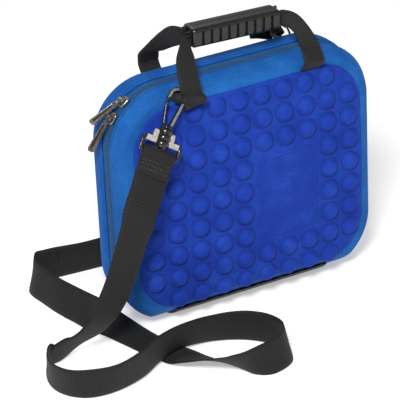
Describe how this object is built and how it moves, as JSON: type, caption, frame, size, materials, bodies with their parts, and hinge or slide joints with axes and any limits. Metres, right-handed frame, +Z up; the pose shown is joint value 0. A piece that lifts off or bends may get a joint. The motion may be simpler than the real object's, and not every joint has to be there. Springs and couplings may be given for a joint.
{
  "type": "zippered hard-shell carrying case",
  "caption": "Soft-moulded carrying case with raised dome panels, full-perimeter zip, webbing handles with a split grip, and a clip-on shoulder strap with swivel snap hooks.",
  "frame": {"origin": "centre of the case's footprint, on its flat base", "axes": "+X to the case's right seen from the front, +Y to the back, +Z up; the front face with the blank field faces -Y"},
  "size_m": [0.3746, 0.2679, 0.2692],
  "materials": {
    "rim_fabric": "blue fabric laminated on moulded foam",
    "panel_fabric": "deep blue fabric laminated on moulded foam",
    "lining": "dark woven lining",
    "zip_tape": "woven zip tape",
    "zip_coil": "nylon coil",
    "base_rubber": "matt black",
    "webbing": "ribbed polypropylene webbing",
    "grip_rubber": "satin black moulded grip",
    "slider_metal": "dark nickel plating",
    "pull_inlay": "gloss black",
    "hook_plastic": "polished black acetal"
  },
  "bodies": {
    "front_half": {"front_shell": "rim_fabric", "front_panel": "panel_fabric", "front_lining": "lining", "front_zip_tape": "zip_tape", "front_zip_coil": "zip_coil", "base_strip_front": "base_rubber", "front_handle_foot_left": "webbing", "front_handle_foot_right": "webbing", "front_hook_claw": "hook_plastic", "shoulder_strap_front": "webbing", "zip_end_stops": "slider_metal"},
    "rear_half": {"rear_shell": "rim_fabric", "rear_panel": "panel_fabric", "rear_lining": "lining", "rear_zip_tape": "zip_tape", "rear_zip_coil": "zip_coil", "base_strip_rear": "base_rubber", "rear_handle_foot_left": "webbing", "rear_handle_foot_right": "webbing", "rear_hook_claw": "hook_plastic", "shoulder_strap_rear": "webbing"},
    "front_handle": {"front_handle_webbing": "webbing", "front_grip_half": "grip_rubber"},
    "rear_handle": {"rear_handle_webbing": "webbing", "rear_grip_half": "grip_rubber"},
    "upper_slider": {"upper_slider": "slider_metal"},
    "upper_pull": {"upper_pull": "slider_metal", "upper_pull_inlay": "pull_inlay"},
    "lower_slider": {"lower_slider": "slider_metal"},
    "lower_pull": {"lower_pull": "slider_metal", "lower_pull_inlay": "pull_inlay"},
    "front_hook_base": {"front_hook_base": "hook_plastic", "front_strap_end": "webbing"},
    "front_hook_gate": {"front_hook_gate": "hook_plastic"},
    "rear_hook_base": {"rear_hook_base": "hook_plastic", "rear_strap_end": "webbing"},
    "rear_hook_gate": {"rear_hook_gate": "hook_plastic"},
    "strap_adjuster": {"strap_adjuster": "hook_plastic"}
  },
  "joints": [
    {"name": "case_opening", "type": "hinge", "parent": "front_half", "child": "rear_half", "pos_m": [0, -0.006, 0], "axis": [-1, 0, 0], "range_deg": [0, 150]},
    {"name": "front_handle_swing", "type": "hinge", "parent": "front_half", "child": "front_handle", "pos_m": [0, -0.0432, 0.2239], "axis": [1, 0, 0], "range_deg": [0, 100]},
    {"name": "rear_handle_swing", "type": "hinge", "parent": "rear_half", "child": "rear_handle", "pos_m": [0, 0.0432, 0.2239], "axis": [-1, 0, 0], "range_deg": [0, 100]},
    {"name": "upper_slider_travel", "type": "hinge", "parent": "front_half", "child": "upper_slider", "pos_m": [-0.0725, -0.006, 0.1716], "axis": [0, 1, 0], "range_deg": [0, 38]},
    {"name": "lower_slider_travel", "type": "hinge", "parent": "front_half", "child": "lower_slider", "pos_m": [-0.0725, -0.006, 0.1716], "axis": [0, -1, 0], "range_deg": [0, 34]},
    {"name": "upper_pull_flip", "type": "hinge", "parent": "upper_slider", "child": "upper_pull", "pos_m": [-0.10864, -0.006, 0.21786], "axis": [0, 1, 0], "range_deg": [0, 150]},
    {"name": "lower_pull_flip", "type": "hinge", "parent": "lower_slider", "child": "lower_pull", "pos_m": [-0.12116, -0.006, 0.20442], "axis": [0, 1, 0], "range_deg": [0, 30]},
    {"name": "front_hook_swivel", "type": "hinge", "parent": "front_half", "child": "front_hook_base", "pos_m": [-0.09323, -0.05113, 0.19557], "axis": [-0.5649, -0.357, -0.7439], "range_deg": [-25, 25]},
    {"name": "front_gate_press", "type": "hinge", "parent": "front_half", "child": "front_hook_gate", "pos_m": [-0.09014, -0.04648, 0.20524], "axis": [0.0028, 0.9008, -0.4343], "range_deg": [0, 16], "stiffness_Nm_per_rad": 0.05},
    {"name": "rear_hook_swivel", "type": "hinge", "parent": "rear_half", "child": "rear_hook_base", "pos_m": [0.09323, 0.05113, 0.19557], "axis": [0.5649, 0.357, -0.7439], "range_deg": [-25, 25]},
    {"name": "rear_gate_press", "type": "hinge", "parent": "rear_half", "child": "rear_hook_gate", "pos_m": [0.09014, 0.04648, 0.20524], "axis": [-0.0028, -0.9008, -0.4343], "range_deg": [0, 16], "stiffness_Nm_per_rad": 0.05},
    {"name": "adjuster_slide", "type": "slide", "parent": "rear_half", "child": "strap_adjuster", "axis": [1, 0, 0], "range_m": [-0.02, 0.02]}
  ]
}
